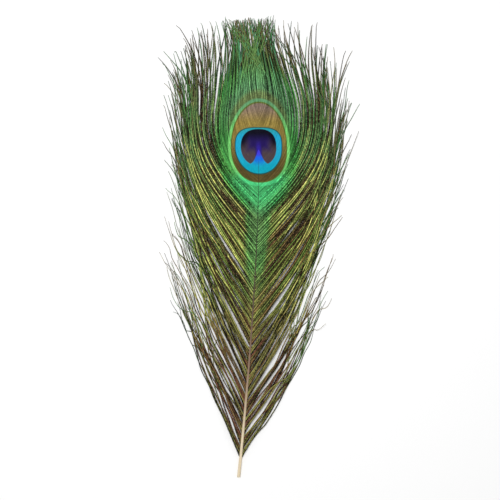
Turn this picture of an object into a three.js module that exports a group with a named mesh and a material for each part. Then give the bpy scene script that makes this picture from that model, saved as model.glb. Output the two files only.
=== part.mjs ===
// An eye feather from a peacock's train, trimmed short and lying on its underside.
// Millimetres, +Z up, +Y towards the fringed tip. Shapes are laid out from the centre of the eye marking,
// and the finished group is then moved so that the centre of its bounding box's underside is the origin.
import * as THREE from 'three';

// Shaft: a tapered quill that bends gently to -X towards its cut end and arches over the surface.
const SHAFT_CUT_Y = -199;
const SHAFT_TIP_Y = 24;
const CUT_RADIUS = 0.95;
const TIP_RADIUS = 0.125;
const TAPER_POWER = 1.3;
const BEND_START_Y = -22;
const BEND = 0.0051;
const CUT_HEIGHT = CUT_RADIUS;
const TIP_HEIGHT = 2.4;
const ARCH_RISE = 4.6;
const SHAFT_SIDES = 12;
const SHAFT_RINGS = 27;
const GROOVE_DEPTH = 0.28;
const GROOVE_FADE = 30;

// Barbs: where each row is rooted on the shaft, the angle it leaves at, the angle it settles to,
// the length over which it turns, how late and sharply it does so, and how long it is.
// Angles are from the shaft's direction.
const BARB_ROWS = [
  { root: 24, leave: 5, settle: 0, turn: 15, power: 2, length: 54 },
  { root: 17, leave: 22, settle: -1, turn: 13, power: 2, length: 60.5 },
  { root: 8, leave: 31, settle: -4, turn: 17, power: 2, length: 70 },
  { root: -8, leave: 42, settle: -8, turn: 25, power: 2, length: 88 },
  { root: -22, leave: 47, settle: -13, turn: 35, power: 2, length: 106 },
  { root: -29.5, leave: 47, settle: -15, turn: 44, power: 2.2, length: 115 },
  { root: -35, leave: 45, settle: -12, turn: 52, power: 2.6, length: 120 },
  { root: -42, leave: 43, settle: -8, turn: 60, power: 3, length: 126 },
  { root: -60, leave: 40, settle: -3, turn: 76, power: 3.5, length: 131 },
  { root: -80, leave: 37, settle: 2, turn: 84, power: 3.5, length: 131 },
  { root: -105, leave: 34, settle: 7, turn: 88, power: 3.2, length: 127 },
  { root: -135, leave: 31, settle: 11, turn: 90, power: 3, length: 121 },
  { root: -187, leave: 28, settle: 14, turn: 92, power: 3, length: 111 },
];
const LEAN_FADE = 60;
const SWAY = 6;
const SWAY_START_Y = 28;
const SWAY_OVER = 50;
const SWAY_POWER = 1.3;
const FLAT_FROM = 0.75;
const VANE_THICKNESS = 1.2;
const SHAFT_GAP = 0.35;
const BARB_STEP = 0.5;

// The vane on each side of the shaft is three stretches, each with a different build.
const STRETCHES = [
  { name: 'eye_vane', from: SHAFT_TIP_Y, to: -29.5, rows: 9, points: 18, colour: 0x2f8f6a, roughness: 0.42 },
  { name: 'loose_barbs', from: -33, to: -118, rows: 9, points: 18, colour: 0x5d6b2c, roughness: 0.55 },
  { name: 'base_barbs', from: -122, to: -186, rows: 7, points: 15, colour: 0x6e5334, roughness: 0.65 },
];
const SHAFT_COLOUR = 0xd9c8ae;

const radians = (degrees) => (degrees * Math.PI) / 180;

function bendX(y) {
  return y < BEND_START_Y ? -BEND * (BEND_START_Y - y) ** 1.5 : 0;
}

function leanOf(y) {
  return y < BEND_START_Y ? Math.atan(1.5 * BEND * Math.sqrt(BEND_START_Y - y)) : 0;
}

function shaftRadius(y) {
  const fromTip = (SHAFT_TIP_Y - y) / (SHAFT_TIP_Y - SHAFT_CUT_Y);
  return TIP_RADIUS + (CUT_RADIUS - TIP_RADIUS) * fromTip ** TAPER_POWER;
}

function shaftHeight(y) {
  const along = (y - SHAFT_CUT_Y) / (SHAFT_TIP_Y - SHAFT_CUT_Y);
  return CUT_HEIGHT + (TIP_HEIGHT - CUT_HEIGHT) * along + ARCH_RISE * Math.sin(Math.PI * along);
}

function barbRow(root) {
  const upper = BARB_ROWS.findIndex((row) => row.root <= root);
  const below = BARB_ROWS[Math.max(1, upper)];
  const above = BARB_ROWS[Math.max(1, upper) - 1];
  const mix = (root - above.root) / (below.root - above.root);
  const blend = (key) => above[key] + (below[key] - above[key]) * mix;
  return Object.fromEntries(['leave', 'settle', 'turn', 'power', 'length'].map((key) => [key, blend(key)]));
}

// How far the fringe has swayed to -X at y.
function swayX(y) {
  return -SWAY * Math.min(1, Math.max(0, (y - SWAY_START_Y) / SWAY_OVER)) ** SWAY_POWER;
}

// Points at equal steps along one barb, from beside the shaft out to its tip.
function barbPath(root, side, points) {
  const row = barbRow(root);
  const lean = leanOf(root);
  const start = shaftRadius(root) + SHAFT_GAP;
  let x = bendX(root) + side * start * Math.cos(lean);
  let y = root - side * start * Math.sin(lean);
  const path = [[x, y]];
  const steps = Math.ceil(row.length / BARB_STEP / (points - 1)) * (points - 1);
  const step = row.length / steps;
  for (let i = 1; i <= steps; i += 1) {
    const run = (i - 0.5) * step;
    const turn = radians(row.settle + (row.leave - row.settle) * Math.exp(-((run / row.turn) ** row.power)));
    const heading = side * turn + lean * Math.exp(-run / LEAN_FADE);
    x += Math.sin(heading) * step;
    y += Math.cos(heading) * step;
    if (i % (steps / (points - 1)) === 0) path.push([x + swayX(y), y]);
  }
  return path;
}

// Height of the middle of a vane: level at the shaft, then drooping until it lies on the surface.
function vaneHeight(root, along) {
  const u = Math.min(1, along / FLAT_FROM);
  const droop = u * u * (3 - 2 * u);
  const low = VANE_THICKNESS / 2;
  return low + (shaftHeight(root) - low) * (1 - droop);
}

function meshOf(name, corners, faces, colour, roughness) {
  const geometry = new THREE.BufferGeometry();
  geometry.setAttribute('position', new THREE.Float32BufferAttribute(corners.flat(), 3));
  geometry.setIndex(faces.flat());
  geometry.computeVertexNormals();
  const material = new THREE.MeshStandardMaterial({ color: colour, roughness, metalness: 0 });
  const mesh = new THREE.Mesh(geometry, material);
  mesh.name = name;
  return mesh;
}

// The shaft is round above and grooved along its underside between its two ends.
function shaftMesh() {
  const corners = [];
  const faces = [];
  for (let i = 0; i < SHAFT_RINGS; i += 1) {
    const y = SHAFT_CUT_Y + ((SHAFT_TIP_Y - SHAFT_CUT_Y) * i) / (SHAFT_RINGS - 1);
    const radius = shaftRadius(y);
    const lean = leanOf(y);
    const fade = Math.min(1, (y - SHAFT_CUT_Y) / GROOVE_FADE, (SHAFT_TIP_Y - y) / GROOVE_FADE);
    for (let k = 0; k < SHAFT_SIDES; k += 1) {
      const angle = (2 * Math.PI * k) / SHAFT_SIDES;
      const underside = Math.max(0, -Math.sin(angle)) ** 12;
      const reach = radius * (1 - GROOVE_DEPTH * fade * underside);
      const across = reach * Math.cos(angle);
      corners.push([
        bendX(y) + across * Math.cos(lean),
        y - across * Math.sin(lean),
        shaftHeight(y) + reach * Math.sin(angle),
      ]);
    }
  }
  for (let i = 0; i < SHAFT_RINGS - 1; i += 1) {
    for (let k = 0; k < SHAFT_SIDES; k += 1) {
      const a = i * SHAFT_SIDES + k;
      const b = i * SHAFT_SIDES + ((k + 1) % SHAFT_SIDES);
      faces.push([a, a + SHAFT_SIDES, b], [b, a + SHAFT_SIDES, b + SHAFT_SIDES]);
    }
  }
  const cut = corners.length;
  corners.push([bendX(SHAFT_CUT_Y), SHAFT_CUT_Y, shaftHeight(SHAFT_CUT_Y)]);
  const tip = corners.length;
  corners.push([bendX(SHAFT_TIP_Y), SHAFT_TIP_Y, shaftHeight(SHAFT_TIP_Y)]);
  const last = (SHAFT_RINGS - 1) * SHAFT_SIDES;
  for (let k = 0; k < SHAFT_SIDES; k += 1) {
    const next = (k + 1) % SHAFT_SIDES;
    faces.push([cut, k, next], [tip, last + next, last + k]);
  }
  return meshOf('shaft', corners, faces, SHAFT_COLOUR, 0.45);
}

// One stretch of vane on one side: a thin sheet whose edges follow the first and last barbs in it.
function vaneMesh(stretch, side) {
  const { rows, points } = stretch;
  const corners = [];
  for (const half of [1, -1]) {
    for (let i = 0; i < rows; i += 1) {
      const root = stretch.from + ((stretch.to - stretch.from) * i) / (rows - 1);
      barbPath(root, side, points).forEach(([x, y], j) => {
        const height = vaneHeight(root, j / (points - 1));
        corners.push([x, y, height + (half * VANE_THICKNESS) / 2]);
      });
    }
  }
  const under = rows * points;
  const at = (i, j) => i * points + j;
  const quads = [];
  for (let i = 0; i < rows - 1; i += 1) {
    for (let j = 0; j < points - 1; j += 1) {
      quads.push([at(i, j), at(i + 1, j), at(i + 1, j + 1), at(i, j + 1)]);
      quads.push([at(i, j), at(i, j + 1), at(i + 1, j + 1), at(i + 1, j)].map((corner) => corner + under));
    }
  }
  const wall = (a, b) => quads.push([a, a + under, b + under, b]);
  for (let i = 0; i < rows - 1; i += 1) {
    wall(at(i, 0), at(i + 1, 0));
    wall(at(i + 1, points - 1), at(i, points - 1));
  }
  for (let j = 0; j < points - 1; j += 1) {
    wall(at(rows - 1, j), at(rows - 1, j + 1));
    wall(at(0, j + 1), at(0, j));
  }
  const faces = quads.flatMap(([a, b, c, d]) => [[a, b, c], [a, c, d]]);
  if (side < 0) faces.forEach((face) => face.reverse());
  const name = `${stretch.name}_${side > 0 ? 'right' : 'left'}`;
  return meshOf(name, corners, faces, stretch.colour, stretch.roughness);
}

const feather = new THREE.Group();
feather.name = 'peacock_feather';
feather.add(shaftMesh());
for (const stretch of STRETCHES) {
  for (const side of [-1, 1]) feather.add(vaneMesh(stretch, side));
}

const box = new THREE.Box3().setFromObject(feather);
const middle = box.getCenter(new THREE.Vector3());
for (const mesh of feather.children) {
  mesh.geometry.translate(-middle.x, -middle.y, -box.min.z);
}

export default feather;
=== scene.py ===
# %% [markdown]
# An eye feather from a peacock's train, lying on its underside on a pale table.
# Everything is in metres, in the frame of the imported model: +Y runs to the fringed tip and +Z up.
# The imported model's pieces stay in the scene, hidden as the feather's own pieces take their place.

import math

import bpy
import numpy as np
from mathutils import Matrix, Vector


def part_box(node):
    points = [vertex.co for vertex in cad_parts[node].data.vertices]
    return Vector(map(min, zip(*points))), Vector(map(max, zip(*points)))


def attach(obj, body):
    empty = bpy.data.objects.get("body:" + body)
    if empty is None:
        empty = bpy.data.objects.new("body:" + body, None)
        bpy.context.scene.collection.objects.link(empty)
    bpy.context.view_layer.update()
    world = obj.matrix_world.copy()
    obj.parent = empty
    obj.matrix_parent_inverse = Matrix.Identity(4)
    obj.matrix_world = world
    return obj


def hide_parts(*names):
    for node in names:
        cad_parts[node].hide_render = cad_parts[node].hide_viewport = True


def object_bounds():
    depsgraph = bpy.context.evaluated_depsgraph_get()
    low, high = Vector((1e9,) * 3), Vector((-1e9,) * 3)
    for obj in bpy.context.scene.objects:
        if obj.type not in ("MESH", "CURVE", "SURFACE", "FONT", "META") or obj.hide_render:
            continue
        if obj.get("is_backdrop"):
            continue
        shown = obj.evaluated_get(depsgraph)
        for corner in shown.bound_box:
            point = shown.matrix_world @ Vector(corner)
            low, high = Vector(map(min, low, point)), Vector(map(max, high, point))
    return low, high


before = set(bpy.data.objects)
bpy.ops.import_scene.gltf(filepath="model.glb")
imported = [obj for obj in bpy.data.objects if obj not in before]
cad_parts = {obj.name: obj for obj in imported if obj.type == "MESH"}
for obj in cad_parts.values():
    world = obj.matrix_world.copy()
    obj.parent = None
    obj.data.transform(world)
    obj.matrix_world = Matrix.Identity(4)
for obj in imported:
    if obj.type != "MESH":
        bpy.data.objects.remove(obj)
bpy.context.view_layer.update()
MM = 0.001
print("nodes", sorted(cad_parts))

# %% [markdown]
# The shaft is the feather's backbone, and every barb is rooted on it, so its line is settled first.
# It could be drawn by hand as a curve, but a rule is easier to change: it bends to one side towards the cut
# end, tapers to a hair at the tip, and arches up between its ends as a trimmed feather does on a table.
# Lengths here are in millimetres from the middle of the eye marking. The box of the shaft's node then says
# where that middle lies in the frame.

# %% The line of the shaft
CUT_Y = -199.0
TIP_Y = 24.0
CUT_RADIUS = 0.95
TIP_RADIUS = 0.125
TAPER_POWER = 1.3
BEND_START_Y = -22.0
BEND = 0.0051
TIP_HEIGHT = 2.4
ARCH_RISE = 4.6


def bend_x(y):
    """How far the shaft has bent to the side at y."""
    return -BEND * np.maximum(BEND_START_Y - y, 0.0) ** 1.5


def lean(y):
    """The shaft's angle from +Y at y, in radians: the slope of bend_x."""
    return np.arctan(1.5 * BEND * np.sqrt(np.maximum(BEND_START_Y - y, 0.0)))


def shaft_radius(y):
    """Half the shaft's thickness at y."""
    from_tip = np.clip((TIP_Y - y) / (TIP_Y - CUT_Y), 0.0, 1.0)
    return TIP_RADIUS + (CUT_RADIUS - TIP_RADIUS) * from_tip**TAPER_POWER


def shaft_height(y):
    """Height of the shaft's middle line above the table at y."""
    along = (y - CUT_Y) / (TIP_Y - CUT_Y)
    return CUT_RADIUS + (TIP_HEIGHT - CUT_RADIUS) * along + ARCH_RISE * np.sin(np.pi * along)


shaft_low, shaft_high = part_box("shaft")
line = np.linspace(CUT_Y, TIP_Y, 400)
widest = float((bend_x(line) + shaft_radius(line) * np.cos(lean(line))).max())
EYE_X = shaft_high.x / MM - widest
EYE_Y = shaft_high.y / MM - TIP_Y
print("middle of the eye", round(EYE_X, 3), round(EYE_Y, 3), "mm")

# %% [markdown]
# The camera looks straight down, as over a sheet of paper, so a feather that lies flat is seen whole.
# A wide lens close by would make the barbs at the edges lean outwards, so the lens is long and hangs high.
# The view is 300 mm wide at the level of the barbs, and the middle of the eye is given its place in it.

# %% The camera
VIEW_WIDTH = 300.0
BARB_LEVEL = 3.0
LENS = 100.0
SENSOR = 36.0
PICTURE = 500.0
EYE_COLUMN = 258.5
EYE_LINE = 147.0

scene = bpy.context.scene


def add(name, data):
    """A new object of this data, linked to the scene."""
    made = bpy.data.objects.new(name, data)
    scene.collection.objects.link(made)
    return made


step = VIEW_WIDTH / PICTURE
camera_x = EYE_X - (EYE_COLUMN - PICTURE / 2) * step
camera_y = EYE_Y - (PICTURE / 2 - EYE_LINE) * step
camera_data = bpy.data.cameras.new("overhead_camera")
camera_data.lens = LENS
camera_data.sensor_width = SENSOR
camera = add("overhead_camera", camera_data)
camera.location = Vector((camera_x, camera_y, VIEW_WIDTH * LENS / SENSOR + BARB_LEVEL)) * MM
scene.camera = camera
print("camera at", [round(c, 4) for c in camera.location])

# %% [markdown]
# The table is one large pale sheet with a soft matt finish. The light is a bright even room with one wide
# lamp, almost overhead. A hard lamp would throw a dark shadow beside every barb. With this one the shadow is
# faint, and the barbules still have a bright and a dark side.

# %% The table and the light
FLOOR_HALF = 3.0
FLOOR_SHADE = 0.86
FLOOR_ROUGHNESS = 0.9
ROOM_LIGHT = 0.5
LAMP_WATTS = 8.0
LAMP_SIZE = 0.4
LAMP_PLACE = (-0.12, 0.16, 1.0)

floor_mesh = bpy.data.meshes.new("table_top")
corners = [(x * FLOOR_HALF, y * FLOOR_HALF, 0) for x, y in ((-1, -1), (1, -1), (1, 1), (-1, 1))]
floor_mesh.from_pydata(corners, [], [(0, 1, 2, 3)])
floor = add("table_top", floor_mesh)
floor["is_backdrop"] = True
floor_finish = bpy.data.materials.new("pale_table")
floor_finish.use_nodes = True
floor_shader = floor_finish.node_tree.nodes["Principled BSDF"]
floor_shader.inputs["Base Color"].default_value = (FLOOR_SHADE, FLOOR_SHADE, FLOOR_SHADE, 1)
floor_shader.inputs["Roughness"].default_value = FLOOR_ROUGHNESS
floor_mesh.materials.append(floor_finish)

world = bpy.data.worlds.new("even_room")
world.use_nodes = True
background = world.node_tree.nodes["Background"]
background.inputs["Color"].default_value = (1.0, 1.0, 1.0, 1)
background.inputs["Strength"].default_value = ROOM_LIGHT
scene.world = world
scene.view_settings.view_transform = "Standard"

lamp_data = bpy.data.lights.new("soft_lamp", "AREA")
lamp_data.shape = "DISK"
lamp_data.size = LAMP_SIZE
lamp_data.energy = LAMP_WATTS
lamp = add("soft_lamp", lamp_data)
lamp.location = LAMP_PLACE
lamp.rotation_euler = (-lamp.location).to_track_quat("-Z", "Y").to_euler()
print("room light", ROOM_LIGHT, "lamp", LAMP_WATTS, "W")

# %% [markdown]
# A barb is a long fine branch of the shaft. Each one leaves at its own angle, turns towards the tip over some
# distance and then runs on almost straight. Drawing hundreds by hand would be slow and uneven. The numbers
# change slowly along the shaft, so a short table of rows, mixed between them, describes every barb.
# In the eye, barbs are rooted on the top of the shaft and cover it. Lower down they are rooted on its sides.

# %% The rule for the barbs
#        root, leaves, settles, turns over, power, length (mm, degrees, degrees, mm, how sharply, mm)
BARB_ROWS = np.array(
    [
        (24.0, 5.0, 0.0, 15.0, 2.0, 54.0),
        (17.0, 22.0, -1.0, 13.0, 2.0, 60.5),
        (8.0, 31.0, -4.0, 17.0, 2.0, 70.0),
        (-8.0, 42.0, -8.0, 25.0, 2.0, 88.0),
        (-22.0, 47.0, -13.0, 35.0, 2.0, 106.0),
        (-29.5, 47.0, -15.0, 44.0, 2.2, 115.0),
        (-35.0, 45.0, -12.0, 52.0, 2.6, 120.0),
        (-42.0, 43.0, -8.0, 60.0, 3.0, 126.0),
        (-60.0, 40.0, -3.0, 76.0, 3.5, 131.0),
        (-80.0, 37.0, 2.0, 84.0, 3.5, 131.0),
        (-105.0, 34.0, 7.0, 88.0, 3.2, 127.0),
        (-135.0, 31.0, 11.0, 90.0, 3.0, 121.0),
        (-187.0, 28.0, 14.0, 92.0, 3.0, 111.0),
    ]
)[::-1]
LEAVES, SETTLES, TURNS_OVER, POWER, LENGTH = 1, 2, 3, 4, 5
LEAN_FADE = 60.0
SWAY = 6.0
SWAY_START_Y = 28.0
SWAY_OVER = 50.0
SWAY_POWER = 1.3
FLAT_FROM = 0.75
LOWEST = 0.45
PATH_STEPS = 160
FLOW_ROOTS = np.linspace(-187.0, 24.0, 423)
# Where a barb is rooted, as shares of the shaft's radius: rows of root and share.
ROOTED_OUT = ((-12.0, 0.8), (-4.0, 0.2))
ROOTED_UP = ((-12.0, 0.3), (-4.0, 0.9))


def row_value(root, column):
    """One number of the table, mixed between the rows on either side of this root."""
    return np.interp(root, BARB_ROWS[:, 0], BARB_ROWS[:, column])


def at_root(root, rows):
    """A number read from short rows of (root, number), mixed in the same way."""
    places, values = zip(*rows)
    return np.interp(root, places, values)


def flow_table(roots, side):
    """Where barbs from these roots run: an array of roots by path steps by x and y."""
    columns = (LEAVES, SETTLES, TURNS_OVER, POWER, LENGTH)
    leave, settle, turn, power, length = (row_value(roots, c)[:, None] for c in columns)
    share = (np.arange(PATH_STEPS) + 0.5) / PATH_STEPS
    run = length * share
    heading = side * np.radians(settle + (leave - settle) * np.exp(-((run / turn) ** power)))
    heading = heading + lean(roots)[:, None] * np.exp(-run / LEAN_FADE)
    pace = length / PATH_STEPS
    out = np.zeros((len(roots), PATH_STEPS + 1, 2))
    out[:, 1:, 0] = np.cumsum(np.sin(heading) * pace, 1)
    out[:, 1:, 1] = np.cumsum(np.cos(heading) * pace, 1)
    start = side * shaft_radius(roots) * at_root(roots, ROOTED_OUT)
    out[:, :, 0] += (bend_x(roots) + start * np.cos(lean(roots)))[:, None]
    out[:, :, 1] += (roots - start * np.sin(lean(roots)))[:, None]
    out[:, :, 0] -= SWAY * np.clip((out[:, :, 1] - SWAY_START_Y) / SWAY_OVER, 0, 1) ** SWAY_POWER
    return out


FLOWS = {side: flow_table(FLOW_ROOTS, side) for side in (-1, 1)}


def on_flow(side, roots, share):
    """Points at these shares of the length, on the paths of these roots, which need not be one root."""
    row = np.clip((roots - FLOW_ROOTS[0]) / (FLOW_ROOTS[1] - FLOW_ROOTS[0]), 0, len(FLOW_ROOTS) - 1.001)
    col = np.clip(share * PATH_STEPS, 0, PATH_STEPS - 0.001)
    i, j = row.astype(int), col.astype(int)
    a, b = (row - i)[..., None], (col - j)[..., None]
    table = FLOWS[side]
    upper = table[i, j] * (1 - b) + table[i, j + 1] * b
    lower = table[i + 1, j] * (1 - b) + table[i + 1, j + 1] * b
    return upper * (1 - a) + lower * a


def droop(root, share):
    """Height of an undisturbed barb: level at the shaft, then sinking until it lies on the table."""
    u = np.clip(share / FLAT_FROM, 0, 1)
    fall = u * u * (3 - 2 * u)
    top = shaft_height(root) + shaft_radius(root) * at_root(root, ROOTED_UP)
    return LOWEST + (top - LOWEST) * (1 - fall)


print("barb paths for", len(FLOW_ROOTS), "roots a side")

# %% [markdown]
# Real barbs don't run like combed lines. Neighbours cling together in clumps, which close up towards their
# tips, early on the lower shaft and late round the eye. Some barbs and whole clumps stray, a few cross the
# vane, and each one waves, rolls and hooks a little. A hair system could do this, but its strands are lost
# on export, so the paths are worked out here as plain points. Each habit is a few rows of root and number.

# %% How the habits change along the shaft
CLUMP_GROWTH = ((-110.0, 1.7), (-65.0, 1.0), (-8.0, 1.0), (4.0, 1.7))
CLOSING_POWER = ((-110.0, 1.0), (-85.0, 1.5), (-65.0, 2.6), (-50.0, 5.0))
CLOSING_POWER += ((-38.0, 8.0), (-12.0, 8.0), (0.0, 5.0))
CLOSING_SHARE = ((-37.0, 1.0), (-31.0, 0.15), (-29.0, 0.15), (-23.0, 1.0))
DISORDER = ((-130.0, 1.8), (-90.0, 1.2), (-62.0, 0.5), (-42.0, 0.12), (-30.0, 0.12))
TIP_ORDER = ((14.0, 1.0), (23.0, 0.2))
TIP_PINCH = ((15.0, 0.0), (24.0, 1.2))
HOOKED = ((-75.0, 0.0), (-60.0, 1.0), (-12.0, 1.0), (0.0, 0.0))
FLARED = ((-60.0, 1.0), (-31.0, 0.1), (-29.0, 1.0))
MAY_CROSS = ((-75.0, 1.0), (-50.0, 0.0), (-20.0, 0.0), (-12.0, 1.0))
TIP_FULL = ((-70.0, 1.0), (-45.0, 2.0))
FULLNESS = ((-150.0, 0.85), (-110.0, 1.0), (-75.0, 1.1), (-55.0, 1.15), (-42.0, 1.1), (-30.0, 1.0))
FILM_ENDS, FILM_OVER = -75.0, 40.0
print("disorder at the eye and at the base:", at_root(-30.0, DISORDER), at_root(-130.0, DISORDER))

# %% [markdown]
# Random numbers come from one generator with a fixed seed, so every run grows the same feather. A barb strays
# by sliding onto a neighbour's path, which keeps it in the flow of the vane. Moving it sideways instead would
# cut across the others. A habit grows along the barb with its share of the length, from 0 at the root to 1.

# %% Clumps, strays and waves
SEED = 7
rng = np.random.default_rng(SEED)


def even(count, low=0.0, high=1.0):
    """One number for each barb, anywhere from low to high."""
    return rng.uniform(low, high, (count, 1))


def bell(count):
    """One number for each barb, mostly near 0 and seldom past 2."""
    return rng.normal(0, 1, (count, 1))


def smooth_noise(count, steps, waves):
    """A gentle wave for each barb, about -1 to 1, from a few sines with random phases."""
    share = np.linspace(0, 1, steps)[None, :]
    total = np.zeros((count, steps))
    for k in range(1, waves + 1):
        phase = even(count, 0, 2 * np.pi)
        speed = k * even(count, 0.7, 1.3)
        total += np.sin(2 * np.pi * speed * share + phase) * even(count, 0.4, 1.0) / k
    return total / 1.2


def late(share, start, over):
    """0 up to this share of the length, then rising to 1 over the next stretch."""
    return np.clip((share - start) / over, 0, 1)


def clump_centres(roots, low, high):
    """The middle root of each barb's clump. Clumps hold from low to high barbs, and more at both ends."""
    centre = np.zeros(len(roots))
    i = 0
    while i < len(roots):
        size = int(rng.integers(low, high + 1) * at_root(roots[i], CLUMP_GROWTH))
        centre[i : i + size] = roots[i : i + size].mean()
        i += size
    return centre


def slides(roots, share, habit):
    """How far each point slides along the shaft onto other paths, and which barbs are last in their clump."""
    count, points = share.shape
    centres = clump_centres(roots[:, 0], *habit["clump"])
    last = np.append(np.diff(centres) != 0, True)[:, None]
    power = habit["close_late"] * at_root(roots, CLOSING_POWER)
    close = habit["cling"] * even(count, 0.75, 1.0) * share**power
    slide = (centres[:, None] - roots) * close * at_root(roots, CLOSING_SHARE)
    stray = bell(count) * (even(count) < habit["stray_share"])
    clumps, which = np.unique(centres, return_inverse=True)
    push = bell(len(clumps))[which]
    disorder = at_root(roots, DISORDER)
    slide += habit["stray"] * disorder * stray * share**1.6
    slide += habit["push"] * disorder * push * share**1.2
    slide += habit["drift"] * disorder * smooth_noise(count, points, 2) * share
    return slide * at_root(roots, TIP_ORDER), last


def bends(side, roots, share, habit):
    """How far each point leaves its path sideways: a wave, a hook at the tip and a flare outwards."""
    count, points = share.shape
    unrest = np.minimum(at_root(roots, DISORDER) + 0.2, 1.0)
    wave = smooth_noise(count, points, 7) * (habit["wave"] * unrest * share**1.3)
    hooked = at_root(roots, HOOKED)
    flick = (bell(count) * (1 + 0.7 * hooked) + 0.9 * side * hooked) * habit["flick"]
    flick = flick * late(share, 0.7, 0.3) ** 2
    flare = side * habit["flare"] * at_root(roots, FLARED)
    flare = flare * even(count) * late(share, 0.6, 0.4) ** 2
    return wave + flick + flare


def cross_over(flat, side, roots, share, habit):
    """Moves the barbs that cross the vane, and says where they lie over the others."""
    count = len(roots)
    crossing = even(count) < habit["cross_share"]
    may_cross = at_root(roots, MAY_CROSS)
    flat[..., 0] -= side * at_root(roots, TIP_PINCH) * np.minimum(1, share * 4)
    flat[..., 0] -= side * habit["cross"] * may_cross * crossing * even(count, 0.4, 1.0) * share**3
    flat[..., 0] += habit["spread"] * np.minimum(at_root(roots, DISORDER), 1.0) * bell(count) * share
    return crossing * may_cross * late(share, 0.5, 0.15)


print("random numbers from seed", SEED)

# %% [markdown]
# The barbules shorten towards a barb's tip. The stalk thins in the same way, and near the shaft it widens
# into a film, which stands for barbules so closely hooked that no gap shows. Barbs droop to the table along
# one smooth line, each a little over or under its neighbours, and some tips curl up. The last barb of a
# clump gets a dark tone, which is painted shade for the shade that the next barb throws on it.

# %% Thickness, height and the finished paths
LONGEST = 1.02
TIP_SHARE = 0.78
ROOT_EASE = 0.03
ROLL_FROM, LAYER_FROM = 12.0, 15.0
CROSSING_RISE = 0.7
TABLE_GAP = 0.16
SHADE_PAINTED_TONES, LIGHT_TONES, CROSSING_TONE = (0.0, 0.2), (0.25, 1.0), 0.95


def thickness(roots, share, run, habit):
    """How far the barbules reach, and half the stalk's width with its film."""
    fade = 1 - TIP_SHARE * share ** (habit["tip_fade"] * at_root(roots, TIP_FULL))
    full = habit["reach"] * at_root(roots, FULLNESS)
    reach = full * fade * (1 - habit["thin"] * share) * np.clip(share / ROOT_EASE, 0.5, 1)
    film = habit["film"] * np.exp(-((run / habit["film_run"]) ** 2))
    film = film * np.clip((roots - FILM_ENDS) / FILM_OVER, 0, 1)
    web = habit["web"] * at_root(roots, FULLNESS) * fade + film
    return reach * even(len(roots), 0.85, 1.1), web


def heights(roots, share, share_of_row, run, over, habit):
    """Height of each point: the droop, and how the barb lifts, layers and curls."""
    count, points = share.shape
    hump = np.sin(np.pi * np.clip(share * 1.15, 0, 1)) ** 0.7
    lift = smooth_noise(count, points, 3) * habit["lift"] * hump * np.minimum(1, share * 4)
    layer = habit["layer"] * even(count, -1, 1) * np.clip(run / LAYER_FROM, 0, 1)
    curl = even(count) ** 3 * habit["curl"] * late(share, 0.8, 0.2) ** 2
    return droop(roots, share_of_row) + lift + layer + curl + CROSSING_RISE * over


def barb_paths(side, root_line, habit):
    """Points of every barb of one stretch in millimetres, and the numbers that each point carries."""
    count, points = len(root_line), habit["points"]
    roots = root_line[:, None]
    ones = np.ones((count, points))
    share = np.linspace(0, 1, points)[None, :] * ones
    full_length = row_value(roots, LENGTH)
    length = full_length * even(count, habit["short"], LONGEST)
    share_of_row = share * (length / full_length)
    run = share * length
    slide, last = slides(roots, share, habit)
    flat = on_flow(side, roots + slide, share_of_row)
    ahead = np.gradient(flat, axis=1)
    ahead /= np.linalg.norm(ahead, axis=2, keepdims=True)
    across = np.stack([ahead[..., 1], -ahead[..., 0]], 2)
    flat = flat + across * bends(side, roots, share, habit)[..., None]
    over = cross_over(flat, side, roots, share, habit)
    reach, web = thickness(roots, share, run, habit)
    roll = habit["roll"] * smooth_noise(count, points, 3) * np.minimum(1, run / ROLL_FROM)
    roll = habit["tile"] * side + roll
    height = heights(roots, share, share_of_row, run, over, habit)
    height = np.maximum(height, TABLE_GAP + reach * np.abs(np.sin(roll)))
    # Painted shade: the last barb of each clump gets a dark tone, as if in the shade of the next one.
    dark, light = even(count, *SHADE_PAINTED_TONES), even(count, *LIGHT_TONES)
    tone = np.where(last, dark, light)
    tone = tone + (CROSSING_TONE - tone) * over
    row = (np.arange(count)[:, None] + 0.5) / count * ones
    carried = {"web": web * MM, "reach": reach * MM, "roll": roll, "tone": tone}
    carried.update({"share": share, "row": row, "run": run})
    return np.concatenate([flat, height[..., None]], 2), carried


print("tips thin to", round(1 - TIP_SHARE, 2), "of the width at the root")

# %% [markdown]
# The vane is made in three stretches, because a feather changes its build along the shaft. Round the eye the
# barbs are many, tight and calm. Below it they are long and loose, and nearest the cut end few and ragged.
# One table of habits for each stretch keeps the numbers in one place:
# - span, crowd, count, points: the stretch, how its roots bunch upwards, how many barbs, points on each;
# - clump, cling, close_late, short: barbs in a clump, how tightly and how late it closes, the shortest barb;
# - stray, stray_share, push, drift: slides of some barbs, of whole clumps and of all;
# - wave, flick, flare, spread, cross, cross_share: bends away from the path, and the barbs that cross;
# - lift, layer, curl: heights over or under the neighbours;
# - reach, thin, tip_fade: the barbules' length and how it falls towards the tip;
# - web, film, film_run, tile, roll: half widths of stalk and film, the film's run, and the tilt.

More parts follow.
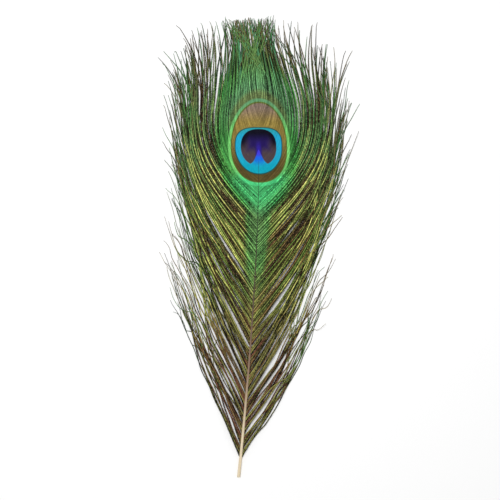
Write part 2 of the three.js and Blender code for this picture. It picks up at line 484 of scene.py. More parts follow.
# %% The three stretches of the vane
HABITS = {
    "eye_vane": dict(
        span=(24.0, -29.5), crowd=1.12, count=84, points=48,
        clump=(3, 8), cling=0.9, close_late=0.8, short=0.94,
        stray=6.0, stray_share=0.1, push=2.0, drift=2.0,
        wave=0.4, flick=2.0, flare=1.5, spread=5.0, cross=24.0, cross_share=0.13,
        lift=0.1, layer=0.12, curl=2.0, reach=1.0, thin=0.3, tip_fade=2.0,
        web=0.36, film=0.16, film_run=40.0, tile=0.12, roll=0.1,
    ),
    "loose_barbs": dict(
        span=(-30.3, -118.5), crowd=1.15, count=110, points=44,
        clump=(2, 5), cling=0.92, close_late=0.5, short=0.88,
        stray=10.0, stray_share=0.6, push=5.0, drift=4.0,
        wave=1.1, flick=2.6, flare=6.0, spread=1.4, cross=20.0, cross_share=0.22,
        lift=0.8, layer=0.6, curl=2.5, reach=1.4, thin=0.4, tip_fade=3.0,
        web=0.4, film=0.25, film_run=9.0, tile=0.15, roll=0.3,
    ),
    "base_barbs": dict(
        span=(-120.5, -186.0), crowd=1.05, count=60, points=52,
        clump=(2, 5), cling=0.98, close_late=0.4, short=0.8,
        stray=8.0, stray_share=0.55, push=6.0, drift=5.0,
        wave=1.6, flick=3.0, flare=3.0, spread=2.0, cross=22.0, cross_share=0.3,
        lift=0.8, layer=0.6, curl=3.0, reach=1.15, thin=0.4, tip_fade=2.5,
        web=0.4, film=0.0, film_run=9.0, tile=0.1, roll=0.5,
    ),
}
ROOT_NUDGE = 0.25


def pitch_of(habit):
    """The even distance between roots in millimetres."""
    first, last = habit["span"]
    return abs(last - first) / (habit["count"] - 1)


def barb_roots(habit):
    """Evenly spaced roots along a stretch, each nudged a little."""
    first, last = habit["span"]
    evenly = first + (last - first) * np.linspace(0, 1, habit["count"]) ** habit["crowd"]
    return evenly + rng.uniform(-ROOT_NUDGE, ROOT_NUDGE, habit["count"]) * pitch_of(habit)


for name, habit in HABITS.items():
    print(name, habit["count"], "barbs a side, every", round(pitch_of(habit), 2), "mm")

# %% [markdown]
# Node trees are quicker to read as sums than as a web of boxes. This small class wraps one socket of a tree.
# Adding, multiplying or comparing two of them adds the matching Math node, or Vector Math where one is a
# vector, and node() adds any other kind. The same class serves the barbs' geometry and every finish.

# %% A wire between nodes
def operator(operation, swapped=False):
    """A method for one operator of two sides, which are swapped for its reflected form."""
    if swapped:
        return lambda self, other: self.maths(operation, other, self)
    return lambda self, other: self.maths(operation, self, other)


class Wire:
    """One output socket in a node tree."""

    def __init__(self, tree, socket=None):
        self.tree = tree
        self.socket = socket

    def node(self, kind, settings=(), sockets=(), out=0):
        """Adds a node of this type: its settings first, then values or wires for its sockets."""
        made = self.tree.nodes.new(kind)
        for key, value in dict(settings).items():
            setattr(made, key, value)
        for key, value in dict(sockets).items():
            self.feed(made.inputs[key], value)
        return Wire(self.tree, made.outputs[out])

    def feed(self, socket, value):
        """Links a wire to this socket, or sets a plain value on it."""
        if isinstance(value, Wire):
            self.tree.links.new(value.socket, socket)
        else:
            socket.default_value = value

    def other(self, name):
        """Another output of the node that this wire comes from."""
        return Wire(self.tree, self.socket.node.outputs[name])

    def maths(self, operation, *values):
        """One Math node, or one Vector Math node where a value is a vector."""
        vectors = [isinstance(v, Wire) and v.socket.type in ("VECTOR", "RGBA") for v in values]
        if not any(vectors):
            return self.node("ShaderNodeMath", {"operation": operation}, dict(enumerate(values)))
        if operation == "MULTIPLY" and not all(vectors):
            vector, number = values if vectors[0] else values[::-1]
            sockets = {0: vector, "Scale": number}
            return self.node("ShaderNodeVectorMath", {"operation": "SCALE"}, sockets)
        return self.node("ShaderNodeVectorMath", {"operation": operation}, dict(enumerate(values)))

    def __abs__(self):
        return self.maths("ABSOLUTE", self)

    __add__ = __radd__ = operator("ADD")
    __mul__ = __rmul__ = operator("MULTIPLY")
    __sub__, __rsub__ = operator("SUBTRACT"), operator("SUBTRACT", True)
    __truediv__, __rtruediv__ = operator("DIVIDE"), operator("DIVIDE", True)
    __pow__, __gt__ = operator("POWER"), operator("GREATER_THAN")
    min, max = operator("MINIMUM"), operator("MAXIMUM")

    def ramp(self, low, high):
        """0 where this is at low, 1 where it is at high, and smooth between."""
        settings = {"interpolation_type": "SMOOTHSTEP"}
        sockets = {"Value": self, "From Min": low, "From Max": high}
        return self.node("ShaderNodeMapRange", settings, sockets)

    def blend(self, below, above):
        """The colour below where this is 0 and the colour above where it is 1."""
        return self.node("ShaderNodeMix", {"data_type": "RGBA"}, {0: self, 6: below, 7: above}, out=2)


def srgb(red, green, blue):
    """A linear colour from three numbers of 0 to 255."""
    parts = [c / 255 for c in (red, green, blue)]
    parts = [c / 12.92 if c <= 0.04045 else ((c + 0.055) / 1.055) ** 2.4 for c in parts]
    return (*parts, 1.0)


print("mid grey is", [round(c, 3) for c in srgb(128, 128, 128)])

# %% [markdown]
# Each barb is a thin stalk, the ramus, with two close rows of tiny flat blades, the barbules, that lean
# towards its tip and give the feather its colour. They repeat tens of thousands of times, so Geometry Nodes
# place them: the stalk is swept along each path, points are set along it at an even pitch, and one small
# wedge is put on both sides of every point. A wedge is a three-sided cone squashed flat, closed and with only
# four faces. The tree also stores how far out each corner lies and a flat layout of every barb as a strip.

# %% The node tree of a barb
STALK_SIDES = 4
LEAN_JITTER = 0.22
DROOP_JITTER = 0.18
REACH_JITTER = 0.12
STRIP_WIDTH = 0.42
STRIP_LENGTH = 0.98
STRIP_MARGIN = 0.01
LEAD_SHARE = 0.003
SIZE_NAMES = ("Barbule pitch", "Barbule width", "Barbule lean", "Barbule droop", "Web rise")


def barb_tree():
    """Builds the tree. Its inputs are the sizes that a barb has."""
    tree = bpy.data.node_groups.new("barbs", "GeometryNodeTree")
    ends = [("Geometry", "OUTPUT", "Geometry"), ("Geometry", "INPUT", "Geometry")]
    ends += [(name, "INPUT", "Float") for name in (*SIZE_NAMES, "Barbule thickness", "Rows")]
    ends += [("Seed", "INPUT", "Int"), ("Finish", "INPUT", "Material")]
    for name, way, kind in ends:
        tree.interface.new_socket(name, in_out=way, socket_type="NodeSocket" + kind)
    entry = tree.nodes.new("NodeGroupInput")
    start = Wire(tree)
    node = start.node
    given = {s.name: Wire(tree, s) for s in entry.outputs if s.name}

    def named(name):
        return node("GeometryNodeInputNamedAttribute", {"data_type": "FLOAT"}, {"Name": name})

    def keep(geometry, name, value, domain="POINT", kind="FLOAT"):
        settings = {"data_type": kind, "domain": domain}
        sockets = {"Geometry": geometry, "Name": name, "Value": value}
        return node("GeometryNodeStoreNamedAttribute", settings, sockets)

    # The stalk: a flattened diamond swept along each path, wide where "web" is wide.
    curves = node("GeometryNodeMeshToCurve", {}, {"Mesh": given["Geometry"]})
    curves = node("GeometryNodeSetCurveNormal", {"mode": "Z_UP"}, {"Curve": curves})
    curves = node("GeometryNodeSetCurveTilt", {}, {"Curve": curves, "Tilt": named("roll")})
    section = {"Resolution": STALK_SIDES, "Radius": 1.0}
    ring = node("GeometryNodeCurvePrimitiveCircle", {"mode": "RADIUS"}, section)
    turn = node("GeometryNodeSplineParameter", out="Factor")
    cosine = start.maths("COSINE", turn * (2 * math.pi))
    ring = keep(ring, "outward", abs(cosine) * 0.5)
    ring = keep(ring, "side", cosine)
    rise = node("ShaderNodeCombineXYZ", {}, {"X": 1.0, "Y": given["Web rise"], "Z": 1.0})
    ring = node("GeometryNodeTransform", {}, {"Geometry": ring, "Scale": rise})
    sweep = {"Curve": curves, "Profile Curve": ring, "Scale": named("web"), "Fill Caps": True}
    stalks = node("GeometryNodeCurveToMesh", {}, sweep)
    stalks = keep(stalks, "lead", 0.0)

    # The places of the barbules, with three directions at each: along, flat across and up.
    pitch = {"Curve": curves, "Length": given["Barbule pitch"]}
    points = node("GeometryNodeCurveToPoints", {"mode": "LENGTH"}, pitch)
    tangent, flat = points.other("Tangent"), points.other("Normal")
    up = start.maths("CROSS_PRODUCT", flat, tangent)

    # One barbule: 1 long, from its root at height 0 to a sharp tip.
    wedge = {"Vertices": 3, "Radius Top": 0.0, "Radius Bottom": 0.5, "Depth": 1.0}
    cone = node("GeometryNodeMeshCone", {}, wedge)
    split = node("ShaderNodeSeparateXYZ", {}, {0: node("GeometryNodeInputPosition")})
    blade = keep(cone, "outward", split.other("Z"))
    blade = keep(blade, "lead", split)

    rows = []
    for sign, seed in ((1.0, 0), (-1.0, 1)):
        limits = {2: -1.0, 3: 1.0, "Seed": given["Seed"] + seed}
        uneven = node("FunctionNodeRandomValue", {"data_type": "FLOAT"}, limits, out=1)
        angle = given["Barbule lean"] * (1.0 + LEAN_JITTER * uneven)
        out = flat * (sign * start.maths("COSINE", given["Barbule droop"]))
        out = out + up * start.maths("SINE", given["Barbule droop"] + DROOP_JITTER * uneven)
        heading = tangent * start.maths("COSINE", angle) + out * start.maths("SINE", angle)
        axes = {"primary_axis": "Z", "secondary_axis": "Y"}
        aim = {"Primary Axis": heading, "Secondary Axis": up}
        rotation = node("FunctionNodeAxesToRotation", axes, aim)
        length = named("reach") * (1.0 + REACH_JITTER * uneven)
        size = {"X": given["Barbule width"], "Y": given["Barbule thickness"], "Z": length}
        scale = node("ShaderNodeCombineXYZ", {}, size)
        sockets = {"Points": keep(points, "side", sign), "Instance": blade}
        sockets.update({"Rotation": rotation, "Scale": scale})
        placed = node("GeometryNodeInstanceOnPoints", {}, sockets)
        rows.append(node("GeometryNodeRealizeInstances", {}, {"Geometry": placed}))

    # Stalks and barbules together, with each barb laid out as a strip of its own.
    joined = node("GeometryNodeJoinGeometry")
    for part in (stalks, *rows):
        tree.links.new(part.socket, joined.socket.node.inputs[0])
    whole = node("GeometryNodeSetShadeSmooth", {}, {"Geometry": joined, "Shade Smooth": False})
    along = (named("share") + LEAD_SHARE * named("lead")) * STRIP_LENGTH + STRIP_MARGIN
    sideways = STRIP_WIDTH * named("outward") * named("side") / given["Rows"]
    strip = node("ShaderNodeCombineXYZ", {}, {"X": along, "Y": named("row") + sideways})
    whole = keep(whole, "OFBake", strip, "CORNER", "FLOAT2")
    whole = node("GeometryNodeRealizeInstances", {}, {"Geometry": whole})
    whole = node("GeometryNodeSetMaterial", {}, {"Geometry": whole, "Material": given["Finish"]})
    leave = tree.nodes.new("NodeGroupOutput")
    start.feed(leave.inputs[0], whole)
    return tree


BARBS = barb_tree()
print("barb tree:", len(BARBS.nodes), "nodes")

# %% [markdown]
# The eye is not painted on the feather: each barbule reflects one colour, and together they form rings. In
# the finish, every ring is an oval worked out from the distance to the middle of the eye, so the pattern runs
# unbroken over all the barbs. Upper and lower halves that differ in height give the egg shape, and the power
# says how square its shoulders are. An image could hold the same rings, but would blur close up.

# %% Ovals and places
# Half width, height above the middle, height below it, power above, power below.
OVALS = {
    "green vane": (26.0, 86.0, 40.0, 2.0, 2.0),
    "haze": (23.5, 43.0, 36.0, 2.0, 1.45),
    "arc": (20.4, 34.2, 25.5, 2.0, 2.0),
    "rim": (18.5, 29.2, 23.7, 2.0, 2.2),
    "egg": (16.9, 27.3, 21.5, 2.0, 2.25),
    "border": (14.3, 11.9, 16.6, 3.0, 2.05),
    "blue": (13.75, 11.4, 16.0, 3.0, 2.05),
    "heart": (10.65, 10.75, 11.3, 2.4, 2.2),
    "calm round the eye": (21.5, 33.0, 34.0, 2.0, 2.0),
    "calm rim": (18.9, 29.8, 24.2, 2.0, 2.2),
    "calm blue": (15.0, 12.6, 17.2, 2.8, 2.05),
}
EGG_X = 0.2


def oval(x, y, name):
    """Below 1 inside the named oval, 1 on it and more outside."""
    half_width, top, bottom, top_power, bottom_power = OVALS[name]
    upper = y > 0.0
    tall = upper * (top - bottom) + bottom
    power = upper * (top_power - bottom_power) + bottom_power
    return (abs(x / half_width) ** power + abs(y / tall) ** power) ** (1.0 / power)


def inside(value, edge):
    """1 inside an oval and 0 outside, over an edge of this share of its width."""
    return 1.0 - value.ramp(1.0 - edge, 1.0 + edge)


def feather_places(start):
    """Wires for x and y in millimetres from the middle of the eye, over the whole feather."""
    place = start.node("ShaderNodeTexCoord", out="Object")
    split = start.node("ShaderNodeSeparateXYZ", {}, {0: place})
    return split * (1.0 / MM) - EYE_X, split.other("Y") * (1.0 / MM) - EYE_Y


def attribute(start, name):
    """A number that the barb tree left on the surface."""
    return start.node("ShaderNodeAttribute", {"attribute_name": name}, out="Fac")


def finish(name):
    """A new material, and a wire to start from in its tree."""
    material = bpy.data.materials.new(name)
    material.use_nodes = True
    return material, Wire(material.node_tree)


print("the eye's bronze egg is", 2 * OVALS["egg"][0], "mm wide")

# %% [markdown]
# Away from the eye the vane is green by the shaft, olive and gold further out and brown low down. On the
# real feather every barb has its own mixture, so three things steer it here: the barb's tone, the place on
# the feather, and fine noise stretched along the barb. One ramp of colour would look like dyed grass.

# %% The colours of the vane
BARB_APART = 900.0
HUES = 9.0
UNEVEN = 0.9


def streaks(start, scale, seed):
    """Fine lengthwise unevenness: noise that is stretched along the barb and differs from barb to barb."""
    along = attribute(start, "run") * scale
    across = attribute(start, "row") * BARB_APART
    vector = start.node("ShaderNodeCombineXYZ", {}, {"X": along, "Y": across, "Z": seed})
    return start.node("ShaderNodeTexNoise", {}, {"Vector": vector, "Scale": 1.0, "Detail": 2.0})


def vane_colour(start, x, y):
    """The plain vane: green by the shaft and round the eye, olive and gold further out, brown low down."""
    tone = attribute(start, "tone")
    hue = start.maths("FRACT", tone * HUES)
    run = attribute(start, "run")
    share = attribute(start, "share")
    noise = streaks(start, 0.09, 3.0)
    # The outer vane: olive and tan, greener beside the eye, gold in flecks, and dark brown as painted shade
    # on the last barb of each clump.
    olive = hue.ramp(0.2, 0.5).blend(srgb(122, 100, 58), srgb(102, 124, 56))
    olive = (y.ramp(-60.0, 5.0) * 0.7).blend(olive, srgb(66, 118, 74))
    # Painted shade: the darkest tones, on the last barb of each clump, turn dark brown.
    olive = tone.ramp(0.3, 0.1).blend(olive, srgb(96, 74, 50))
    flecks = streaks(start, 0.3, 12.0).ramp(0.32, 0.58).max(0.25)
    gold = tone.ramp(0.55, 0.85) * flecks * y.ramp(30.0, -20.0).max(0.35) * run.ramp(2.0, 24.0).max(0.2)
    olive = gold.blend(olive, srgb(160, 162, 88))
    # Green beside the shaft and round the eye.
    green = hue.ramp(0.1, 0.9).blend(srgb(54, 128, 56), srgb(96, 164, 76))
    near_eye = oval(x, y, "green vane").ramp(1.15, 0.75)
    near_shaft = run.ramp(16.0, 4.0) * y.ramp(-115.0, -45.0)
    colour = (near_eye.max(near_shaft) + (noise - 0.5) * UNEVEN).ramp(0.25, 0.8).blend(olive, green)
    colour = (near_shaft * y.ramp(-25.0, -40.0) * 0.75).blend(colour, srgb(84, 108, 68))
    # Brown towards the cut end.
    brown = hue.ramp(0.3, 0.7).blend(srgb(90, 58, 42), srgb(108, 106, 56))
    low = (y.ramp(-40.0, -150.0) + (noise - 0.5) * UNEVEN + (hue - 0.5) * 0.5).ramp(0.3, 0.85)
    colour = low.blend(colour, brown)
    # Dull tips, and a dull fringe above the eye.
    tip_colour = hue.ramp(0.4, 0.6).blend(srgb(98, 82, 56), srgb(56, 96, 50))
    tip_colour = (hue.ramp(0.7, 0.85) * near_eye).blend(tip_colour, srgb(60, 116, 82))
    colour = (y.ramp(33.0, 54.0) * 0.85).blend(colour, srgb(66, 76, 42))
    tips = (share * 1.25 + (noise - 0.5) * 0.5 + (hue - 0.5) * 0.5).ramp(0.6, 1.15)
    return (tips * 0.85).blend(colour, tip_colour)


print("each tone of 0 to 1 passes through", HUES, "turns of hue")

# %% [markdown]
# The rings go over the vane from the outermost in, as a painter lays one coat over another: a green haze, a
# bright rim, a bronze egg, a blue disc with a dark border, and a dark heart, split from below by a pointed
# blue wedge. Most of them change colour from top to bottom, so a ramp along y blends two colours.

# %% The rings of the eye
SKEW = 0.04
RING_EDGE = 0.018
WEDGE_TOP = -1.2
WEDGE_SLOPE = 0.4
WEDGE_OPENS = 8.4
WEDGE_POWER = 7.0


def outer_rings(x, y, vane):
    """Haze, arc, rim and bronze egg over the vane."""
    above = y.ramp(4.0, 26.0)
    haze_green = above.blend(srgb(62, 132, 64), srgb(82, 122, 86))
    haze_green = y.ramp(-14.0, -22.0).blend(haze_green, srgb(66, 170, 104))
    colour = (oval(x, y, "haze").ramp(1.25, 0.85) * 0.85).blend(vane, haze_green)
    colour = (inside(oval(x, y, "arc"), 0.06) * above * 0.7).blend(colour, srgb(106, 114, 66))
    rim_green = y.ramp(8.0, 28.0).blend(srgb(124, 212, 116), srgb(102, 158, 110))
    rim_green = y.ramp(-12.0, -21.0).blend(rim_green, srgb(82, 210, 132))
    colour = inside(oval(x - EGG_X, y, "rim"), RING_EDGE).blend(colour, rim_green)
    gold = y.ramp(25.0, 14.0).blend(srgb(134, 115, 102), srgb(148, 128, 64))
    bronze = y.ramp(8.0, -14.0).blend(gold, srgb(92, 78, 40))
    egg = oval(x - EGG_X, y, "egg")
    colour = inside(egg, 0.015).blend(colour, srgb(92, 104, 40))
    return inside(egg * 1.035, 0.02).blend(colour, bronze)


def blue_disc(x, y, colour):
    """The dark border, the sky-blue disc in it and the bright wedge that rises from below."""
    colour = inside(oval(x, y, "border"), RING_EDGE).blend(colour, srgb(26, 84, 78))
    sky = y.ramp(-4.0, -14.0).blend(srgb(34, 176, 216), srgb(8, 172, 196))
    sky = y.ramp(5.5, 10.5).blend(sky, srgb(44, 168, 182))
    colour = inside(oval(x, y, "blue"), RING_EDGE).blend(colour, sky)
    depth = (WEDGE_TOP - y).max(0.0)
    azure = y.ramp(-1.0, -2.5) * depth.ramp(11.5, 5.0) * abs(x).ramp(5.5, 1.5)
    colour = azure.blend(colour, srgb(26, 102, 232))
    tip = depth.ramp(5.5, 2.5) * y.ramp(-0.5, -1.5) * abs(x).ramp(4.0, 2.0)
    return tip.blend(colour, srgb(70, 62, 228))


def dark_heart(x, y, colour):
    """The dark middle: blue-black above, violet along the shaft and brown in its two lobes."""
    heart = oval(x, y, "heart")
    depth = (WEDGE_TOP - y).max(0.0)
    wedge = depth * WEDGE_SLOPE + (depth / WEDGE_OPENS) ** WEDGE_POWER
    wedge = wedge - abs(x) - depth.ramp(1.0, 0.0) * WEDGE_SLOPE
    lobes = inside(heart, 0.02) * wedge.ramp(0.3, -0.3)
    brown = abs(x).ramp(3.5, 9.5) * y.ramp(8.0, 0.0)
    brown = brown.max(abs(x).ramp(0.8, 3.0) * y.ramp(1.5, -5.0))
    core = brown.blend(srgb(38, 22, 94), srgb(84, 70, 74))
    core = (abs(x).ramp(2.2, 0.2) * y.ramp(5.0, -2.0) * 0.5).blend(core, srgb(62, 42, 200))
    navy = (heart.ramp(0.5, 0.9) * y.ramp(-4.0, 4.0)).max(y.ramp(2.0, 9.0))
    core = navy.blend(core, srgb(9, 7, 28))
    return lobes.blend(colour, core)


def eye_colour(x, y, vane):
    """All the rings over the vane's colour. Below its middle the eye leans a little to one side."""
    x = x + SKEW * y.min(0.0)
    return dark_heart(x, y, blue_disc(x, y, outer_rings(x, y, vane)))


print("rings from", 2 * OVALS["heart"][0], "to", 2 * OVALS["rim"][0], "mm wide")

# %% [markdown]
# In the eye the barbules hook together into one smooth web, and elsewhere every barb shows for itself. One
# number, the calm, carries that: near 1 the barbs are painted alike and their edges get no painted shade. The
# gloss is faint, a little metallic and uneven along the barb. Each stretch could have a shader of its own,
# but one with different numbers keeps them in step where they meet.

# %% The finishes of the barbs
CALM_SHADE = 0.71
EDGE_SHADE = 0.05
DARKEST = 0.1
GLOSS = 0.06
MIDDLE_TONE = 0.4


def calm_of(start, x, y):
    """Up to 1 where the barbs lie in one smooth web: most in the blue, then the bronze, rim and shaft."""
    beside = attribute(start, "run").ramp(9.0, 2.0) * y.ramp(-60.0, -30.0) * 0.55
    calm = (inside(oval(x, y, "calm round the eye"), 0.1) * 0.35).max(beside)
    calm = calm.max(inside(oval(x - EGG_X, y, "calm rim"), 0.03) * 0.78)
    calm = calm - inside(oval(x - EGG_X, y, "egg"), 0.05) * (0.04 + 0.12 * y.ramp(8.0, 20.0))
    return calm + inside(oval(x, y, "calm blue"), 0.05) * 0.3


def barb_shader(start, material, colour, calm, contrast, metal, rough, end_and_gap_shade_depth, core, glint_speckle, level):
    """Finishes a material: darker barbule ends with painted gap shade, and per-barb tone, painted shade and
    glints, all less where calm.
    """
    outward = attribute(start, "outward")
    tone = attribute(start, "tone")
    # Painted glints and uneven tone: two noises along the barb brighten it in flecks and darken it between
    # them.
    glint_and_tone_noise = (streaks(start, 0.16, 6.0) - 0.5) * 1.7 + (streaks(start, 1.1, 4.0) - 0.5) * glint_speckle
    uneven = 1.0 - calm
    shade = ((tone - MIDDLE_TONE) * contrast + glint_and_tone_noise) * uneven + level + (CALM_SHADE - level) * calm
    colour = colour * shade.max(DARKEST)
    # Painted shade: barbules darken outwards. This is partly their own darker ends and partly the shade in
    # the gaps between barbs.
    end_and_gap_shade = outward.ramp(*core) * uneven * end_and_gap_shade_depth
    colour = end_and_gap_shade.blend(colour, colour * EDGE_SHADE)
    shader = material.node_tree.nodes["Principled BSDF"]
    start.feed(shader.inputs["Base Color"], colour)
    shader.inputs["Metallic"].default_value = metal
    shader.inputs["Specular IOR Level"].default_value = GLOSS
    shine = streaks(start, 0.6, 9.0)
    start.feed(shader.inputs["Roughness"], shine * 0.25 + (rough - 0.12))
    return material


# The loose barbs are brighter and far more speckled with painted glints, and the base is a little darker.
EYE_LOOK = dict(contrast=1.6, metal=0.25, rough=0.6, end_and_gap_shade_depth=0.95, core=(0.14, 0.42), glint_speckle=2.4, level=1.0)
LOOSE_LOOK = dict(contrast=2.2, metal=0.2, rough=0.62, end_and_gap_shade_depth=0.92, core=(0.06, 0.28), glint_speckle=6.5, level=1.4)
BASE_LOOK = dict(contrast=2.6, metal=0.15, rough=0.55, end_and_gap_shade_depth=0.8, core=(0.08, 0.3), glint_speckle=5.0, level=0.85)
FRINGE_CONTRAST = 1.4


def barb_finish(name, look, ringed=True, fringed=False):
    """One stretch's finish, with or without the rings and the fringe's strong contrast above them."""
    material, start = finish(name)
    x, y = feather_places(start)
    colour, calm, look = vane_colour(start, x, y), 0.0, dict(look)
    if ringed:
        colour, calm = eye_colour(x, y, colour), calm_of(start, x, y)
    if fringed:
        look["contrast"] = y.ramp(28.0, 48.0) * FRINGE_CONTRAST + look["contrast"]
    return barb_shader(start, material, colour, calm, **look)


FINISHES = {
    "eye_vane": barb_finish("iridescent_eye_barbs", EYE_LOOK, fringed=True),
    "loose_barbs": barb_finish("olive_and_gold_barbs", LOOSE_LOOK),
    "base_barbs": barb_finish("brown_barbs", BASE_LOOK, ringed=False),
}
print("finishes", sorted(m.name for m in FINISHES.values()))

# %% [markdown]
# Now the barbs are grown. The paths go in as a mesh of points and edges, each point carrying its numbers,
# and the tree turns that into stalks and barbules. The result is kept as a plain mesh, because a live
# modifier would be lost on export. There is one piece for each side of each stretch of the shaft.

# %% Grow the barbs
SIZES = {
    "eye_vane": (0.46, 0.5, 0.75, 0.02, 0.1),
    "loose_barbs": (0.73, 0.6, 0.7, -0.1, 0.25),
    "base_barbs": (0.55, 0.46, 0.65, 0.0, 0.25),
}
LENGTHS = ("Barbule pitch", "Barbule width", "Barbule thickness")
BLADE_THICKNESS = 0.07
FIRST_SEED = 11


def path_mesh(name, path, carried):
    """The paths as a mesh of points and edges, with the carried numbers as attributes."""
    count, points = path.shape[:2]
    place = (path + (EYE_X, EYE_Y, 0.0)) * MM
    first = np.arange(count)[:, None] * points + np.arange(points - 1)[None, :]
    edges = np.stack([first, first + 1], 2).reshape(-1, 2)
    mesh = bpy.data.meshes.new(name)
    mesh.from_pydata(place.reshape(-1, 3).tolist(), edges.tolist(), [])
    for key, values in carried.items():
        kept = mesh.attributes.new(key, "FLOAT", "POINT")
        kept.data.foreach_set("value", values.ravel().astype(np.float32))
    return mesh


def grow(name, side):
    """Makes one piece of barbs and returns it."""
    habit = HABITS[name]
    path, carried = barb_paths(side, barb_roots(habit), habit)
    paths = add("paths", path_mesh(name, path, carried))
    modifier = paths.modifiers.new("barbs", "NODES")
    modifier.node_group = BARBS
    inputs = {s.name: s.identifier for s in BARBS.interface.items_tree if s.in_out == "INPUT"}
    given = dict(zip(SIZE_NAMES, SIZES[name]))
    given.update({"Barbule thickness": BLADE_THICKNESS, "Seed": FIRST_SEED + side})
    given.update({"Rows": float(habit["count"]), "Finish": FINISHES[name]})
    for key, value in given.items():
        modifier[inputs[key]] = value * MM if key in LENGTHS else value
    bpy.context.view_layer.update()
    graph = bpy.context.evaluated_depsgraph_get()
    made = bpy.data.meshes.new_from_object(paths.evaluated_get(graph), depsgraph=graph)
    bpy.data.objects.remove(paths)
    node = name + ("_right" if side > 0 else "_left")
    made.name = node + "_barbs"
    piece = add(node + "_barbs", made)
    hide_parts(node)
    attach(piece, "root")
    made.calc_loop_triangles()
    print(piece.name, habit["count"], "barbs", len(made.loop_triangles), "triangles")
    return piece


barb_pieces = [grow(name, side) for name in HABITS for side in (-1, 1)]

# %% [markdown]
# The shaft is a tube of horn filled with white pith. It is nearly round, with a groove along its underside,
# and its end is cut at a slant, so the pith shows inside a thin hard wall. Sweeping a curve would keep one
# section all along, and here the groove fades out at both ends, so the rings are worked out one by one.

# %% The shape of the shaft
SHAFT_RINGS = 240
SHAFT_SIDES = 32
GROOVE_DEPTH = 0.28
GROOVE_FADE = 30.0
GROOVE_POWER = 12
CUT_SLANT = 1.1
SLANT_FADE = 6.0
WALL = 0.16
RIM_INSET = 0.25
RIM_BEVEL = 0.06
PITH_STEPS = (0.35, 0.2, 0.02)
TIP_POINT = 0.25
HORN, PITH = 0, 1


def shaft_ring(y, inset=0.0, slant=0.0):
    """One ring of the shaft in millimetres from the middle of the eye."""
    angle = np.linspace(0, 2 * np.pi, SHAFT_SIDES, endpoint=False)
    fade = np.clip(min((y - CUT_Y) / GROOVE_FADE, (TIP_Y - y) / GROOVE_FADE), 0, 1)
    underside = np.clip(-np.sin(angle), 0, 1) ** GROOVE_POWER
    reach = (shaft_radius(y) - inset) * (1 - GROOVE_DEPTH * fade * underside)
    across, up = reach * np.cos(angle), reach * np.sin(angle)
    back = slant * (up / CUT_RADIUS + 1) / 2
    turn = lean(y)
    x = bend_x(y) + across * np.cos(turn) + back * np.sin(turn)
    return np.stack([x, y - across * np.sin(turn) + back * np.cos(turn), shaft_height(y) + up], 1)


def make_shaft():
    """The shaft's mesh, from the pith in the cut, over the rim and along the outer wall to the tip."""
    rings = [shaft_ring(CUT_Y + depth, WALL, CUT_SLANT) for depth in PITH_STEPS]
    rings.append(shaft_ring(CUT_Y, WALL * RIM_INSET, CUT_SLANT))
    for t in np.linspace(0, 1, SHAFT_RINGS):
        y = CUT_Y + RIM_BEVEL + (TIP_Y - CUT_Y - RIM_BEVEL) * t
        rings.append(shaft_ring(y, 0.0, CUT_SLANT * max(0.0, 1 - (y - CUT_Y) / SLANT_FADE)))
    faces, finishes = [], []
    for i in range(len(rings) - 1):
        for k in range(SHAFT_SIDES):
            a, b = i * SHAFT_SIDES + k, i * SHAFT_SIDES + (k + 1) % SHAFT_SIDES
            faces.append((a, a + SHAFT_SIDES, b + SHAFT_SIDES, b))
            finishes.append(PITH if i < len(PITH_STEPS) - 1 else HORN)
    centre = rings[0].mean(0)
    tip = rings[-1].mean(0) + (0, TIP_POINT, 0)
    points = np.concatenate([*rings, [centre, tip]])
    last = (len(rings) - 1) * SHAFT_SIDES
    for k in range(SHAFT_SIDES):
        after = (k + 1) % SHAFT_SIDES
        faces.append((len(points) - 2, k, after))
        faces.append((len(points) - 1, last + after, last + k))
        finishes += [PITH, HORN]
    mesh = bpy.data.meshes.new("quill_and_rachis")
    place = (points + (EYE_X, EYE_Y, 0.0)) * MM
    mesh.from_pydata(place.tolist(), [], faces)
    mesh.polygons.foreach_set("material_index", finishes)
    mesh.polygons.foreach_set("use_smooth", [True] * len(faces))
    mesh.update()
    return mesh


shaft_mesh = make_shaft()
print("shaft", len(shaft_mesh.polygons), "faces")

# %% [markdown]
# Where it is cut the shaft is pale horn, like a fingernail. It turns mauve-brown and then dark green towards
# the tip, and in the eye it takes a darker shade of each ring that it crosses. The pith is dry white foam.
# A plain colour would look like plastic, so noise gives the horn its long grain and the pith its pores, with
# painted shade in them.

# %% The finishes of the shaft
DARK_GREEN = srgb(26, 44, 28)
RING_SHADE = 0.4
GRAIN_ACROSS, GRAIN_ALONG = 9000.0, 260.0
GRAIN_SHARE = 0.35
BUMP_DISTANCE = 0.05 * MM
PORE_SCALE = 9000.0


def shaft_shader(material, start, colour, rough, height, strength):
    """Sets a shaft material's colour, roughness and fine bump, and returns its shader."""
    shader = material.node_tree.nodes["Principled BSDF"]
    start.feed(shader.inputs["Base Color"], colour)
    start.feed(shader.inputs["Roughness"], rough)
    bump = {"Height": height, "Strength": strength, "Distance": BUMP_DISTANCE}
    start.feed(shader.inputs["Normal"], start.node("ShaderNodeBump", {}, bump))
    return shader


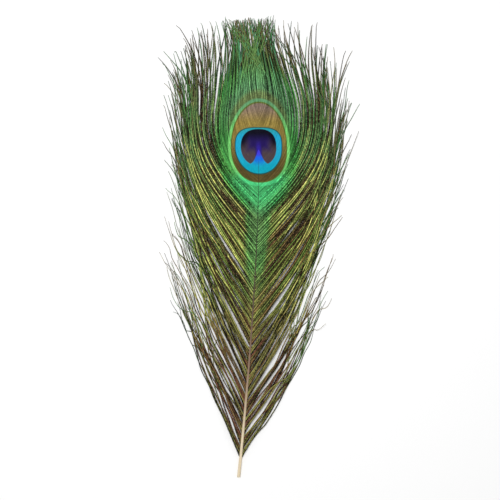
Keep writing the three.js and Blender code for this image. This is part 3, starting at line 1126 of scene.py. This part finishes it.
def horn_finish():
    """Pale horn at the cut end, turning mauve-brown and then dark green towards the tip."""
    material, start = finish("pale_horn")
    x, y = feather_places(start)
    colour = y.ramp(-182.0, -128.0).blend(srgb(230, 214, 184), srgb(140, 114, 96))
    colour = y.ramp(-140.0, -80.0).blend(colour, srgb(74, 62, 50))
    colour = y.ramp(-80.0, -40.0).blend(colour, DARK_GREEN)
    colour = y.ramp(-32.0, -25.0).blend(colour, eye_colour(x, y, DARK_GREEN) * RING_SHADE)
    place = start.node("ShaderNodeTexCoord", out="Object")
    stretch = {"Vector": place, "Scale": (GRAIN_ACROSS, GRAIN_ALONG, GRAIN_ACROSS)}
    long_grain = start.node("ShaderNodeMapping", {}, stretch)
    grain = start.node("ShaderNodeTexNoise", {}, {"Vector": long_grain, "Scale": 1.0, "Detail": 3.0})
    mottled = grain.ramp(0.3, 0.7).blend(srgb(120, 104, 88), srgb(255, 250, 240))
    mix = {"data_type": "RGBA", "blend_type": "MULTIPLY"}
    colour = start.node("ShaderNodeMix", mix, {0: GRAIN_SHARE, 6: colour, 7: mottled}, out=2)
    rough = grain * 0.3 + 0.25 + 0.3 * y.ramp(-120.0, -60.0)
    shader = shaft_shader(material, start, colour, rough, grain, 0.25)
    shader.inputs["Specular IOR Level"].default_value = 0.3
    return material


def pith_finish():
    """Dry white foam with fine pores, darkened inside with painted shade."""
    material, start = finish("white_pith")
    place = start.node("ShaderNodeTexCoord", out="Object")
    cells = {"Vector": place, "Scale": PORE_SCALE}
    pore_depth_and_shade = start.node("ShaderNodeTexVoronoi", {}, cells, out="Distance")
    # Painted shade in the pores: the foam is darker at the middle of each pore.
    colour = pore_depth_and_shade.ramp(0.1, 0.5).blend(srgb(205, 192, 166), srgb(246, 240, 224))
    shaft_shader(material, start, colour, 0.85, pore_depth_and_shade, 0.6)
    return material


shaft_mesh.materials.append(horn_finish())
shaft_mesh.materials.append(pith_finish())
shaft_piece = add("quill_and_rachis", shaft_mesh)
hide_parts("shaft")
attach(shaft_piece, "root")
print("shaft finishes", [m.name for m in shaft_mesh.materials])

# %% [markdown]
# Last, the box of the finished feather is printed.

# %% Finish
seen_box = [list(corner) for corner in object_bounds()]
print("visual box", [[round(c, 4) for c in corner] for corner in seen_box])
